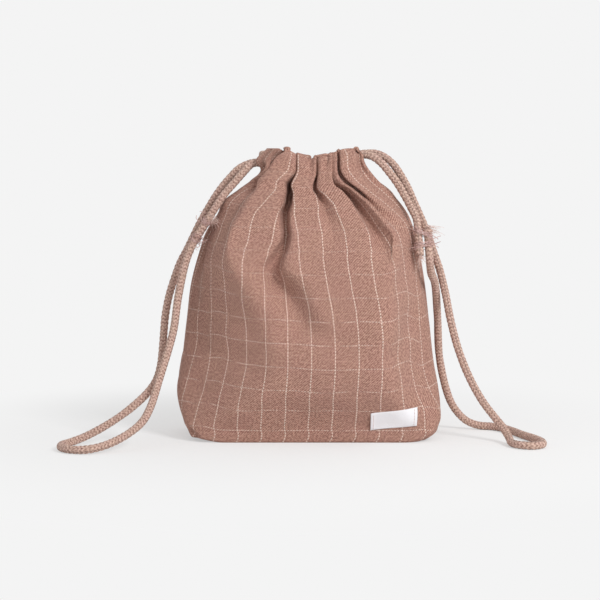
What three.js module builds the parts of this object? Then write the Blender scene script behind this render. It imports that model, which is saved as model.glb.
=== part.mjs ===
// Dog treat pouch: a lined cotton drawstring bag with a boxed base, two looped drawcords and a woven label.
// Millimetres, +Z up, front towards -Y. The origin is on the ground under the middle of the base.
import * as THREE from 'three';
import { mergeVertices } from 'three/addons/utils/BufferGeometryUtils.js';

// Bag body, outside widths (X), depths (Y) and heights (Z)
const baseWidth = 130;
const baseDepth = 59;
const bellyWidth = 146;
const bellyDepth = 84;
const bellyHeight = 26;
const waistWidth = 129;
const waistDepth = 82;
const waistHeight = 90;
const shoulderWidth = 114;
const shoulderDepth = 71;
const shoulderHeight = 114;
const slopeWidth = 88;
const slopeDepth = 52;
const slopeHeight = 135;
const neckWidth = 57;
const neckDepth = 32;
const neckHeight = 146;
const baseSquareness = 2.6;
const neckSquareness = 2;

// Cloth
const shellThickness = 1.2;
const liningThickness = 0.8;
const seamRoom = 1.6;
const fitGap = 0.3;

// Gathers along the mouth
const pleatCount = 8;
const dipStart = 95;
const mouthDip = 4.5;

// Folds below the mouth, from the left seam to the right one: the share of the wall's width where a fold's
// bottom lies and how much of it each flank takes, the depth, and the height where the fold starts
const folds = [
  { bottom: 0.14, left: 0.12, right: 0.09, depth: 4, start: 88 },
  { bottom: 0.4, left: 0.055, right: 0.03, depth: 11, start: 78 },
  { bottom: 0.535, left: 0.012, right: 0.03, depth: 5, start: 102 },
  { bottom: 0.672, left: 0.014, right: 0.024, depth: 6.5, start: 90 },
  { bottom: 0.724, left: 0.018, right: 0.012, depth: 4.5, start: 104 },
];
const foldFullHeight = 128;
const deepestShare = 0.45;

// Casings
const mouthWidth = 48;
const casingWall = 1;
const casingEndOffset = 7;
const casingBow = 3.8;
const casingInnerCorner = 0.4;
const casingRipple = 2.4;

// Drawcords
const cordDiameter = 4.2;
const cordPlay = 0.4;
const turnReach = 3;
const turnLead = 0.8;
const lashingThread = 0.7;
const lashingPlay = 0.5;
const lashingLength = 3.6;
const tuftLength = 6;
const tuftRoot = 1.7;

// Label and threads
const labelLeft = 32.8;
const labelSpan = 24.4;
const labelBottom = 6.4;
const labelHeight = 10;
const labelRise = 1.7;
const labelThickness = 0.9;
const labelThread = 0.6;
const labelStitchInset = 1.6;
const labelStitchMargin = 0.8;
const stitchThread = 0.8;
const stitchHeight = 1.8;
const seamThread = 0.8;
const baseSeamInset = 19;
const cornerSeamInset = 13;
const cornerSeamLength = 28;

// Worked-out sizes
const cordRadius = cordDiameter / 2;
const casingRoom = cordDiameter + 2 * cordPlay;
const casingDepth = casingRoom + 2 * casingWall;
const casingCorner = casingWall + casingInnerCorner;
const cordPitch = cordDiameter + cordPlay;
const casingHeight = 2 * cordDiameter + 3 * cordPlay + 2 * casingWall;
const liningInset = shellThickness + seamRoom;
const threadInset = shellThickness + seamRoom / 2;
const baseSeamLength = baseWidth - 2 * baseSeamInset;
const lowCordLift = fitGap + casingWall + cordPlay + cordRadius;
const highCordLift = lowCordLift + cordPitch;

// How finely the curves are cut into flats
const cordSides = 8;
const threadSides = 6;
const cordStep = 10;
const turnStep = 3.4;
const stitchStep = 2.2;
const seamStep = 7;
const lashingArcSteps = 5;
const pleatSteps = 4;
const wallSteps = 20;
const liningSteps = 16;
const labelSteps = 8;
const labelRows = 3;
const baseRows = 2;
const wallRows = 14;
const routeSteps = 40;
const searchSteps = 40;
const walkStep = 0.0005;
const weldTolerance = 1e-4;

// Free stretches of the left drawcord, from the casing to the ground and back up to the splice
const leftLongRoute = [
  [-24.3, 7.0, 149.8],
  [-31.2, 7.0, 149.8],
  [-38.2, 5.5, 147.0],
  [-43.8, 3.0, 141.6],
  [-50.1, 0.0, 133.6],
  [-54.9, -1.0, 126.0],
  [-59.7, -3.0, 117.4],
  [-63.2, -4.0, 110.3],
  [-67.0, -5.0, 102.5],
  [-70.6, -6.0, 95.6],
  [-74.0, -8.0, 86.3],
  [-76.9, -9.0, 76.5],
  [-78.6, -11.0, 66.8],
  [-79.3, -13.0, 58.0],
  [-79.9, -16.0, 48.7],
  [-80.7, -19.5, 40.5],
  [-82.8, -23.0, 33.2],
  [-87.1, -26.0, 27.0],
  [-94.4, -29.5, 20.2],
  [-102.8, -32.0, 14.0],
  [-111.8, -34.5, 8.6],
  [-120.5, -37.2, 4.4],
  [-127.2, -41.8, 2.4],
  [-130.6, -49.2, 2.2],
  [-129.6, -57.6, 2.2],
  [-124.2, -63.4, 2.2],
  [-116.7, -65.0, 2.4],
  [-108.8, -61.6, 3.4],
  [-101.2, -56.6, 5.8],
  [-93.8, -50.6, 9.6],
  [-88.3, -44.6, 14.2],
  [-84.8, -38.8, 20.6],
  [-82.6, -33.8, 27.4],
  [-80.8, -29.8, 34.0],
  [-76.2, -24.0, 49.4],
  [-73.4, -21.0, 60.4],
  [-70.9, -18.4, 78.4],
  [-66.8, -17.0, 97.0],
  [-62.6, -17.0, 107.4],
  [-53.8, -17.4, 121.2],
];
const leftLoopStart = 16;
const leftLoopEnd = 32;
const leftShortRoute = [
  [-24.3, -7.0, 149.8],
  [-31.0, -7.0, 149.6],
  [-35.8, -8.4, 145.0],
  [-40.8, -9.6, 139.3],
  [-46.4, -11.0, 132.8],
  [-51.2, -12.0, 125.6],
  [-55.2, -12.8, 119.0],
  [-58.8, -12.6, 113.4],
  [-63.0, -12.4, 106.8],
];
const leftLashingHeights = [119.0, 109.6];

// Free stretches of the right drawcord
const rightLongRoute = [
  [24.3, 7.0, 154.4],
  [31.2, 7.0, 155.0],
  [36.0, 6.6, 155.0],
  [41.0, 5.6, 153.2],
  [45.8, 4.6, 149.3],
  [50.3, 4.0, 142.7],
  [54.4, 4.0, 135.4],
  [57.2, 4.0, 129.0],
  [60.0, 3.6, 122.7],
  [62.8, 3.0, 116.4],
  [65.4, 2.6, 109.8],
  [67.6, 2.0, 103.0],
  [71.8, 2.4, 91.0],
  [74.8, -1.2, 78.0],
  [77.0, -8.0, 64.8],
  [81.0, -12.0, 49.0],
  [87.0, -16.0, 33.5],
  [93.8, -20.0, 21.2],
  [100.4, -24.5, 12.6],
  [104.6, -28.2, 7.4],
  [106.6, -34.4, 3.8],
  [107.2, -41.4, 2.2],
  [110.4, -48.4, 2.2],
  [116.8, -51.2, 2.2],
  [122.4, -47.4, 2.2],
  [123.6, -40.0, 2.2],
  [121.2, -29.0, 2.2],
  [116.2, -16.0, 2.2],
  [112.6, -4.0, 2.2],
  [108.4, 7.0, 2.2],
  [102.6, 13.6, 2.2],
  [95.4, 16.2, 2.4],
  [88.8, 16.8, 4.8],
  [83.2, 17.0, 10.0],
  [78.6, 17.0, 18.0],
  [73.2, 16.2, 39.7],
  [71.2, 9.0, 65.0],
  [68.6, -4.6, 84.6],
  [66.2, -11.6, 90.0],
  [65.0, -17.8, 95.4],
  [64.4, -20.2, 100.4],
  [63.9, -19.7, 107.6],
  [63.5, -19.0, 114.6],
];
const rightLoopStart = 17;
const rightLoopEnd = 31;
const rightShortRoute = [
  [24.3, -7.0, 154.4],
  [31.0, -7.0, 154.3],
  [34.6, -8.4, 153.2],
  [38.8, -9.8, 150.0],
  [43.2, -10.6, 144.8],
  [47.8, -11.0, 138.6],
  [51.4, -11.2, 132.4],
  [54.8, -11.4, 126.0],
  [57.6, -15.0, 120.0],
  [58.4, -18.4, 113.0],
  [59.3, -22.4, 100.6],
];
const rightLashingHeights = [112.4, 106];

// Finishes
const rose = new THREE.MeshStandardMaterial({ color: 0xb0826f, roughness: 0.92, metalness: 0 });
const cream = new THREE.MeshStandardMaterial({ color: 0xd9cdbf, roughness: 0.9, metalness: 0 });
const cotton = new THREE.MeshStandardMaterial({ color: 0xbd9887, roughness: 0.95, metalness: 0 });
const frayed = new THREE.MeshStandardMaterial({ color: 0xcbb0a2, roughness: 0.97, metalness: 0 });
const white = new THREE.MeshStandardMaterial({ color: 0xf0eef1, roughness: 0.8, metalness: 0 });
const pale = new THREE.MeshStandardMaterial({ color: 0xe6d9cf, roughness: 0.85, metalness: 0 });
const sewing = new THREE.MeshStandardMaterial({ color: 0xa67765, roughness: 0.9, metalness: 0 });

const pouch = new THREE.Group();

function addPiece(name, geometry, material) {
  const piece = new THREE.Mesh(geometry, material);
  piece.name = name;
  pouch.add(piece);
  return piece;
}

// A closed body from corner points and triangles, with its faces turned outwards
function closedBody(points, triangles) {
  const loose = new THREE.BufferGeometry();
  const numbers = points.flatMap((point) => point.toArray());
  loose.setAttribute('position', new THREE.Float32BufferAttribute(numbers, 3));
  loose.setIndex(triangles.flat());
  const body = mergeVertices(loose, weldTolerance);
  const place = (k) => new THREE.Vector3().fromBufferAttribute(body.attributes.position, k);
  const index = body.getIndex().array;
  const kept = [];
  let volume = 0;
  for (let i = 0; i < index.length; i += 3) {
    const corners = [index[i], index[i + 1], index[i + 2]];
    if (new Set(corners).size < 3) {
      continue;
    }
    const [a, b, c] = corners.map(place);
    volume += a.dot(b.cross(c));
    kept.push(corners);
  }
  const facing = volume > 0 ? kept : kept.map(([a, b, c]) => [a, c, b]);
  body.setIndex(facing.flat());
  body.computeVertexNormals();
  return body;
}

const evenShares = (count) => Array.from({ length: count + 1 }, (_, k) => k / count);

// A sheet of cloth with thickness, between two surfaces that take a share across and a share up
function thickSheet(outside, inside, stations, rows) {
  const points = [];
  const columns = stations.length - 1;
  for (const surface of [outside, inside]) {
    for (const up of evenShares(rows)) {
      points.push(...stations.map((across) => surface(across, up)));
    }
  }
  const layer = (columns + 1) * (rows + 1);
  const at = (i, j) => j * (columns + 1) + i;
  const triangles = [];
  for (let j = 0; j < rows; j++) {
    for (let i = 0; i < columns; i++) {
      const [a, b, c, d] = [at(i, j), at(i + 1, j), at(i + 1, j + 1), at(i, j + 1)];
      triangles.push([a, b, c], [a, c, d]);
      triangles.push([a + layer, c + layer, b + layer], [a + layer, d + layer, c + layer]);
    }
  }
  const rim = [];
  for (let i = 0; i < columns; i++) {
    rim.push([at(i, 0), at(i + 1, 0)], [at(i + 1, rows), at(i, rows)]);
  }
  for (let j = 0; j < rows; j++) {
    rim.push([at(columns, j), at(columns, j + 1)], [at(0, j + 1), at(0, j)]);
  }
  for (const [p, q] of rim) {
    triangles.push([q, p, p + layer], [q, p + layer, q + layer]);
  }
  return closedBody(points, triangles);
}

// A hollow tube with open ends, between outer and inner loops of corners
function hollowTube(outerLoops, innerLoops) {
  const corners = outerLoops[0].length;
  const points = [...outerLoops.flat(), ...innerLoops.flat()];
  const layer = outerLoops.length * corners;
  const at = (k, n) => k * corners + (n % corners);
  const triangles = [];
  for (let n = 0; n < corners; n++) {
    for (let k = 0; k < outerLoops.length - 1; k++) {
      const [a, b, c, d] = [at(k, n), at(k, n + 1), at(k + 1, n + 1), at(k + 1, n)];
      triangles.push([a, b, c], [a, c, d]);
      triangles.push([a + layer, c + layer, b + layer], [a + layer, d + layer, c + layer]);
    }
    const last = outerLoops.length - 1;
    const [a, b] = [at(0, n), at(0, n + 1)];
    const [c, d] = [at(last, n), at(last, n + 1)];
    triangles.push([b, a, a + layer], [b, a + layer, b + layer]);
    triangles.push([c, d, d + layer], [c, d + layer, c + layer]);
  }
  return closedBody(points, triangles);
}

// A round cord or thread along a curve
function cordAlong(curve, diameter, sides, stepLength) {
  const section = new THREE.Shape();
  for (let n = 0; n < sides; n++) {
    const turn = (2 * Math.PI * n) / sides;
    const corner = [(diameter / 2) * Math.cos(turn), (diameter / 2) * Math.sin(turn)];
    if (n === 0) {
      section.moveTo(...corner);
    } else {
      section.lineTo(...corner);
    }
  }
  section.closePath();
  const steps = Math.max(2, Math.ceil(curve.getLength() / stepLength));
  return new THREE.ExtrudeGeometry(section, { steps, extrudePath: curve, bevelEnabled: false });
}

const toVector = (p) => new THREE.Vector3(...p);
const routeCurve = (points) => new THREE.CatmullRomCurve3(points.map(toVector));

const straightThrough = (points) => new THREE.CatmullRomCurve3(points, false, 'catmullrom', 0);

// The share of a curve between two distances along it
class Stretch extends THREE.Curve {
  constructor(whole, from, to) {
    super();
    this.whole = whole;
    this.from = from / whole.getLength();
    this.to = to / whole.getLength();
  }

  getPoint(share, target = new THREE.Vector3()) {
    const along = THREE.MathUtils.lerp(this.from, this.to, share);
    return target.copy(this.whole.getPointAt(THREE.MathUtils.clamp(along, 0, 1)));
  }
}

// Bag body surface
const profile = new THREE.CatmullRomCurve3([
  new THREE.Vector3(baseWidth / 2, baseDepth / 2, 0),
  new THREE.Vector3(bellyWidth / 2, bellyDepth / 2, bellyHeight),
  new THREE.Vector3(waistWidth / 2, waistDepth / 2, waistHeight),
  new THREE.Vector3(shoulderWidth / 2, shoulderDepth / 2, shoulderHeight),
  new THREE.Vector3(slopeWidth / 2, slopeDepth / 2, slopeHeight),
  new THREE.Vector3(neckWidth / 2, neckDepth / 2, neckHeight),
]);

// The mouth is lowest in the middle and level at its two ends
function dipAt(x) {
  const share = THREE.MathUtils.clamp(x / mouthWidth, -0.5, 0.5);
  return mouthDip * Math.cos(Math.PI * share) ** 2;
}

// How far the folds sink into the wall at a place
function sinkAt(across, height, halfDepth) {
  const depths = folds.map(({ bottom, left, right, depth, start }) => {
    const flank = across < bottom ? left : right;
    const share = Math.max(0, 1 - Math.abs(across - bottom) / flank);
    return depth * share * THREE.MathUtils.smoothstep(height, start, foldFullHeight);
  });
  return Math.min(Math.max(...depths), deepestShare * halfDepth);
}

// The lining hangs smoothly, so it stays behind the deepest fold at each height
function behindFolds(height, halfDepth) {
  return Math.max(...folds.map(({ bottom }) => sinkAt(bottom, height, halfDepth)));
}

// A point of the front wall: across runs from the left seam to the right one, up from the ground to the neck
function wallPoint(across, up, inset, folded = true) {
  const { x: halfWidth, y: halfDepth, z: height } = profile.getPoint(up);
  const angle = Math.PI * (1 + across);
  const power = 2 / THREE.MathUtils.lerp(baseSquareness, neckSquareness, up);
  const cos = Math.cos(angle);
  const sin = Math.min(0, Math.sin(angle));
  const smaller = folded ? inset : inset + behindFolds(height, halfDepth);
  const x = (halfWidth - smaller) * Math.sign(cos) * Math.abs(cos) ** power;
  const y = -(halfDepth - smaller) * Math.abs(sin) ** power;
  const sink = folded ? sinkAt(across, height, halfDepth) : 0;
  const inwards = new THREE.Vector2(-x / halfWidth ** 2, -y / halfDepth ** 2).setLength(sink);
  const flatX = x + inwards.x;
  const drop = dipAt(flatX) * THREE.MathUtils.smoothstep(height, dipStart, neckHeight);
  return new THREE.Vector3(flatX, y + inwards.y - fitGap / 2, height - drop);
}

// A panel is one wall and its half of the base, which runs in to the seam under the middle
function panelPoint(baseShare, inset, folded) {
  return (across, up) => {
    if (up < baseShare) {
      const edge = wallPoint(across, 0, inset);
      const inwards = up / baseShare;
      return new THREE.Vector3(edge.x, -fitGap / 2 + (edge.y + fitGap / 2) * inwards, inset);
    }
    const point = wallPoint(across, (up - baseShare) / (1 - baseShare), inset, folded);
    point.z = Math.max(point.z, inset);
    return point;
  };
}

function panel(inset, thickness, stations, folded) {
  const rows = baseRows + wallRows;
  const outside = panelPoint(baseRows / rows, inset, folded);
  const inside = panelPoint(baseRows / rows, inset + thickness, folded);
  return thickSheet(outside, inside, stations, rows);
}

// The shell is cut at the bottom and the edges of every fold, and evenly between them
const foldMarks = folds.flatMap(({ bottom, left, right }) => [bottom - left, bottom, bottom + right]);
const between = evenShares(wallSteps).filter((share) => {
  return foldMarks.every((mark) => Math.abs(mark - share) > 1 / (3 * wallSteps));
});
const shellStations = [...foldMarks, ...between].sort((a, b) => a - b);
const shellPanel = panel(0, shellThickness, shellStations, true);
addPiece('outer_front_panel', shellPanel, rose);
addPiece('outer_back_panel', shellPanel, rose).rotation.z = Math.PI;

const liningPanel = panel(liningInset, liningThickness, evenShares(liningSteps), false);
addPiece('lining_front', liningPanel, cream);
addPiece('lining_back', liningPanel, cream).rotation.z = Math.PI;

// The middle line of a casing's underside, from its left end to its right one
function lipPoint(across, lift) {
  const x = mouthWidth * (across - 0.5);
  const bow = casingBow * Math.sin(Math.PI * across) ** 2;
  return new THREE.Vector3(x, -casingEndOffset - bow, neckHeight - dipAt(x) + lift);
}

function lipOutwards(across) {
  const slope = (-casingBow * Math.PI * Math.sin(2 * Math.PI * across)) / mouthWidth;
  return new THREE.Vector3(slope, -1, 0).normalize();
}

function rippleAt(across) {
  return (casingRipple * (1 - Math.cos(2 * Math.PI * pleatCount * across))) / 2;
}

// One cross-section of a casing, a chamfered box whose outer side ripples with the gathers
function casingLoop(across, inset) {
  const centre = lipPoint(across, fitGap);
  const outwards = lipOutwards(across);
  const back = -casingDepth / 2 + inset;
  const front = casingDepth / 2 - inset + rippleAt(across);
  const [low, high] = [inset, casingHeight - inset];
  const cut = casingCorner - inset;
  const corners = [
    [back, low + cut],
    [back, high - cut],
    [back + cut, high],
    [front - cut, high],
    [front, high - cut],
    [front, low + cut],
    [front - cut, low],
    [back + cut, low],
  ];
  return corners.map(([out, lift]) => {
    return centre.clone().addScaledVector(outwards, out).add(new THREE.Vector3(0, 0, lift));
  });
}

const casingStations = evenShares(pleatSteps * pleatCount);
const casing = hollowTube(
  casingStations.map((across) => casingLoop(across, 0)),
  casingStations.map((across) => casingLoop(across, casingWall)),
);
addPiece('front_casing', casing, rose);
addPiece('back_casing', casing, rose).rotation.z = Math.PI;

// The row of stitches that closes each casing runs along its outer side
const stitchPoints = casingStations.slice(1, -1).map((across) => {
  const out = casingDepth / 2 + rippleAt(across) + 2 * fitGap + stitchThread / 2;
  return lipPoint(across, fitGap + stitchHeight).addScaledVector(lipOutwards(across), out);
});
const stitchRow = cordAlong(new THREE.CatmullRomCurve3(stitchPoints), stitchThread, threadSides, stitchStep);
addPiece('front_casing_stitch', stitchRow, sewing);
addPiece('back_casing_stitch', stitchRow, sewing).rotation.z = Math.PI;

// Seam threads, in the room between shell and lining
const sideSeamPoints = Array.from({ length: wallRows - 1 }, (_, k) => {
  const point = wallPoint(0, (k + 1) / wallRows, threadInset);
  point.y = 0;
  return point;
});
const sideSeam = cordAlong(straightThrough(sideSeamPoints), seamThread, threadSides, seamStep);
addPiece('left_side_seam', sideSeam, sewing);
addPiece('right_side_seam', sideSeam, sewing).rotation.z = Math.PI;

const seamLine = (from, to) => new THREE.LineCurve3(toVector(from), toVector(to));
const baseSeam = seamLine([-baseSeamLength / 2, 0, threadInset], [baseSeamLength / 2, 0, threadInset]);
addPiece('base_seam', cordAlong(baseSeam, seamThread, threadSides, baseSeamLength / 4), sewing);
for (const [name, side] of [['left_corner_seam', -1], ['right_corner_seam', 1]]) {
  const x = side * (baseWidth / 2 - cornerSeamInset);
  const line = seamLine([x, -cornerSeamLength / 2, threadInset], [x, cornerSeamLength / 2, threadInset]);
  addPiece(name, cordAlong(line, seamThread, threadSides, cornerSeamLength / 3), sewing);
}

function shareAtHeight(height) {
  let [low, high] = [0, 1];
  for (let n = 0; n < searchSteps; n++) {
    const middle = (low + high) / 2;
    if (profile.getPoint(middle).z < height) {
      low = middle;
    } else {
      high = middle;
    }
  }
  return low;
}

// Label, a folded strip that lies on the front panel
function onFront(x, height, out) {
  const up = shareAtHeight(height);
  const halfWidth = profile.getPoint(up).x;
  const power = THREE.MathUtils.lerp(baseSquareness, neckSquareness, up) / 2;
  const cos = (x / halfWidth) ** power;
  return wallPoint(1 - Math.acos(cos) / Math.PI, up, -out);
}

function labelPoint(out) {
  return (across, up) => {
    const height = labelBottom + labelHeight * up + labelRise * across;
    return onFront(labelLeft + labelSpan * across, height, out);
  };
}

const labelFace = labelPoint(fitGap + labelThickness);
addPiece('woven_label', thickSheet(labelFace, labelPoint(fitGap), evenShares(labelSteps), labelRows), white);
const labelStitchOut = 2 * fitGap + labelThickness + labelThread / 2;
for (const [name, across] of [
  ['label_stitch_left', labelStitchInset / labelSpan],
  ['label_stitch_right', 1 - labelStitchInset / labelSpan],
]) {
  const margin = labelStitchMargin / labelHeight;
  const points = evenShares(labelRows).map((share) => {
    return labelPoint(labelStitchOut)(across, THREE.MathUtils.lerp(margin, 1 - margin, share));
  });
  addPiece(name, cordAlong(new THREE.CatmullRomCurve3(points), labelThread, threadSides, stitchStep), pale);
}

// Drawcord runs inside the casings, and the turn from one casing into the other
function cordRun(lift) {
  const crests = casingStations.filter((_, k) => k % pleatSteps === 0);
  const points = crests.map((across) => lipPoint(across, lift));
  const lip = new THREE.CatmullRomCurve3(points);
  const run = new Stretch(lip, fitGap, lip.getLength() - fitGap);
  return cordAlong(run, cordDiameter, cordSides, cordStep);
}

function cordTurn(lift) {
  const start = mouthWidth / 2 + fitGap;
  const height = neckHeight + lift;
  const points = [[start, -casingEndOffset, height]];
  for (const angle of [-90, -45, 0, 45, 90]) {
    const turn = THREE.MathUtils.degToRad(angle);
    const out = turnLead + (turnReach - turnLead) * Math.cos(turn);
    points.push([start + out, casingEndOffset * Math.sin(turn), height]);
  }
  points.push([start, casingEndOffset, height]);
  return cordAlong(routeCurve(points), cordDiameter, cordSides, turnStep);
}

addPiece('left_cord_front_run', cordRun(lowCordLift), cotton);
addPiece('left_cord_back_run', cordRun(lowCordLift), cotton).rotation.z = Math.PI;
addPiece('left_cord_turn', cordTurn(lowCordLift), cotton);
addPiece('right_cord_front_run', cordRun(highCordLift), cotton);
addPiece('right_cord_back_run', cordRun(highCordLift), cotton).rotation.z = Math.PI;
addPiece('right_cord_turn', cordTurn(highCordLift), cotton).rotation.z = Math.PI;

// Free stretches: the long one is cut into the drop, the loop on the ground and the rise to the splice
function freeStretches(side, long, short, loopStart, loopEnd) {
  const lengths = long.getLengths((long.points.length - 1) * routeSteps);
  const startCut = lengths[loopStart * routeSteps];
  const endCut = lengths[loopEnd * routeSteps];
  const stretches = {
    drop: new Stretch(long, 0, startCut - fitGap / 2),
    loop: new Stretch(long, startCut + fitGap / 2, endCut - fitGap / 2),
    rise: new Stretch(long, endCut + fitGap / 2, long.getLength()),
    short_end: short,
  };
  for (const [name, stretch] of Object.entries(stretches)) {
    const cord = cordAlong(stretch, cordDiameter, cordSides, cordStep);
    addPiece(`${side}_cord_${name}`, cord, cotton);
  }
}

const leftLong = routeCurve(leftLongRoute);
const leftShort = routeCurve(leftShortRoute);
const rightLong = routeCurve(rightLongRoute);
const rightShort = routeCurve(rightShortRoute);
freeStretches('left', leftLong, leftShort, leftLoopStart, leftLoopEnd);
freeStretches('right', rightLong, rightShort, rightLoopStart, rightLoopEnd);

// A lashing is a band of thread around both ends of a cord
function stadium(halfSpan, radius) {
  const outline = new THREE.Shape();
  outline.absarc(halfSpan, 0, radius, -Math.PI / 2, Math.PI / 2, false);
  outline.absarc(-halfSpan, 0, radius, Math.PI / 2, (3 * Math.PI) / 2, false);
  outline.closePath();
  return outline;
}

// The share of a curve, counted back from its end, where it passes a height
function shareNearEnd(curve, height) {
  const above = curve.getPointAt(1).z > height;
  let share = 1;
  while (curve.getPointAt(share).z > height === above) {
    share -= walkStep;
  }
  return share;
}

function lashing(name, long, short, height) {
  const [longShare, shortShare] = [shareNearEnd(long, height), shareNearEnd(short, height)];
  const [a, b] = [long.getPointAt(longShare), short.getPointAt(shortShare)];
  const halfSpan = a.distanceTo(b) / 2;
  const band = stadium(halfSpan, cordRadius + lashingPlay + lashingThread);
  band.holes.push(stadium(halfSpan, cordRadius + lashingPlay));
  const geometry = new THREE.ExtrudeGeometry(band, {
    depth: lashingLength,
    bevelEnabled: false,
    curveSegments: lashingArcSteps,
  });
  geometry.translate(0, 0, -lashingLength / 2);
  const spread = b.clone().sub(a).normalize();
  const axis = long.getTangentAt(longShare).sub(short.getTangentAt(shortShare)).normalize();
  axis.addScaledVector(spread, -axis.dot(spread)).normalize();
  const piece = addPiece(name, geometry, pale);
  const facing = new THREE.Matrix4().makeBasis(spread, axis.clone().cross(spread), axis);
  piece.quaternion.setFromRotationMatrix(facing);
  piece.position.copy(a).lerp(b, 0.5);
}

lashing('left_high_lashing', leftLong, leftShort, leftLashingHeights[0]);
lashing('left_low_lashing', leftLong, leftShort, leftLashingHeights[1]);
lashing('right_high_lashing', rightLong, rightShort, rightLashingHeights[0]);
lashing('right_low_lashing', rightLong, rightShort, rightLashingHeights[1]);

// Frayed ends, tufts that open out from the cut end and close to a point
function frayedEnd(name, curve) {
  const outline = [
    [0, 0],
    [tuftRoot, 0],
    [cordRadius, tuftLength / 3],
    [tuftRoot, (2 * tuftLength) / 3],
    [0, tuftLength],
  ].map((corner) => new THREE.Vector2(...corner));
  const direction = curve.getTangentAt(1);
  const piece = addPiece(name, new THREE.LatheGeometry(outline, cordSides), frayed);
  piece.quaternion.setFromUnitVectors(new THREE.Vector3(0, 1, 0), direction);
  piece.position.copy(curve.getPointAt(1)).addScaledVector(direction, fitGap);
}

frayedEnd('left_long_frayed_end', leftLong);
frayedEnd('left_short_frayed_end', leftShort);
frayedEnd('right_long_frayed_end', rightLong);
frayedEnd('right_short_frayed_end', rightShort);

export default pouch;
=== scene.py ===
# %% [markdown]
# # A drawstring treat pouch
# The pouch is a small bag of checked cotton twill that two drawcords gather at the mouth. The imported model
# already holds every piece at its real size, with the bodies that move. This lesson dresses it: each step
# makes one piece or one finish, and most pieces are told which body they move with.
# Tables are in millimetres, as a maker measures; meshes are in metres, as Blender expects.

# %% Load the imported model
import math

import bpy
import numpy as np
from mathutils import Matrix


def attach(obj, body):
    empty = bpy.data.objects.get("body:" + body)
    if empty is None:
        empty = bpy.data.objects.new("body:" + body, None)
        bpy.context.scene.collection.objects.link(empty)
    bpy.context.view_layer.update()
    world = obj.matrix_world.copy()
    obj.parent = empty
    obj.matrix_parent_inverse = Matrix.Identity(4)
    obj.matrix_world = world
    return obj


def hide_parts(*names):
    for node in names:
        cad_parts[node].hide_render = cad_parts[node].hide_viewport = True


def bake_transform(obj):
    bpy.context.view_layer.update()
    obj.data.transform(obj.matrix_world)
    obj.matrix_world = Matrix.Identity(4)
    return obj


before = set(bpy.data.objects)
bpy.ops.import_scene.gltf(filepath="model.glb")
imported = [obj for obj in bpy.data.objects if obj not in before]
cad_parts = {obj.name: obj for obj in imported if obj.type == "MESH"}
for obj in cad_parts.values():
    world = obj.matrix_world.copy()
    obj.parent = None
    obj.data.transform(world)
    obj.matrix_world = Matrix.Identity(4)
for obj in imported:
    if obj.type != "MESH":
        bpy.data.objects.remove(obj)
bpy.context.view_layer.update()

# %% [markdown]
# ## Camera
# The pouch was photographed almost level, from the front and from about a metre away, so a long lens with
# a slight look down gives the same outline. The camera comes first, because the drawcords are laid out to
# be seen from here.

# %% Camera
tilt = math.radians(5)
distance = 1.0
target = np.array([-0.0052, 0.0, 0.0746])
lens = bpy.data.cameras.new("camera")
lens.lens = 109
lens.sensor_width = 36
camera = bpy.data.objects.new("camera", lens)
camera.location = target + distance * np.array([0.0, -math.cos(tilt), math.sin(tilt)])
camera.rotation_euler = (math.pi / 2 - tilt, 0, 0)
bpy.context.scene.collection.objects.link(camera)
bpy.context.scene.camera = camera
print("camera at, m:", [round(x, 3) for x in camera.location])

# %% [markdown]
# ## Meshes from rows of points
# Cloth, cord and thread are all rows of points with four-sided faces between them. One helper makes the
# object and keeps, for each point, its place on the flat cloth. That place becomes the UV map, so a check
# that is straight on the cloth follows every fold.


# %% Mesh helpers
def make_piece(name, points, faces, finish, flat=None):
    """A mesh object from points in millimetres; flat holds each point's place on the flat cloth."""
    mesh = bpy.data.meshes.new(name)
    mesh.from_pydata((np.asarray(points) / 1000).tolist(), [], [tuple(map(int, face)) for face in faces])
    if flat is not None:
        corner = np.zeros(len(mesh.loops), np.int32)
        mesh.loops.foreach_get("vertex_index", corner)
        layer = mesh.uv_layers.new(name="cloth")
        layer.data.foreach_set("uv", (np.asarray(flat, np.float32) / 1000)[corner].ravel())
    mesh.polygons.foreach_set("use_smooth", [True] * len(mesh.polygons))
    mesh.materials.append(finish)
    mesh.update()
    piece = bpy.data.objects.new(name, mesh)
    bpy.context.scene.collection.objects.link(piece)
    return piece


def grid_faces(rows, columns, closed=False):
    """Faces between rows of points; a closed grid joins its last column to its first."""
    across = columns if closed else columns - 1
    column, row = np.meshgrid(np.arange(across), np.arange(rows - 1))
    a = row * columns + column
    b = row * columns + (column + 1) % columns
    return np.stack([a, b, b + columns, a + columns], -1).reshape(-1, 4)


def smoothstep(low, high, x):
    """Rises from 0 at low to 1 at high, level at both ends."""
    t = np.clip((np.asarray(x, float) - low) / (high - low), 0, 1)
    return t * t * (3 - 2 * t)


# %% [markdown]
# ## Lines through points
# A cord's route is a short list of points. A centripetal Catmull-Rom curve passes through all of them and
# never overshoots, which a Bezier with automatic handles can do where points lie close together. Around
# such a line a tube is made ring by ring.

# %% Line helpers
curve_steps = 40


def along_line(line):
    """The distance of each point from the start of a line."""
    return np.concatenate([[0], np.cumsum(np.linalg.norm(np.diff(line, axis=0), axis=1))])


def places_on(line, stops):
    """The places on a line at distances from its start."""
    along = along_line(line)
    return np.stack([np.interp(stops, along, column) for column in line.T], 1)


def evenly(line, step):
    """The same line with its points a step apart."""
    length = along_line(line)[-1]
    return places_on(line, np.linspace(0, length, max(2, round(length / step) + 1)))


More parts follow.
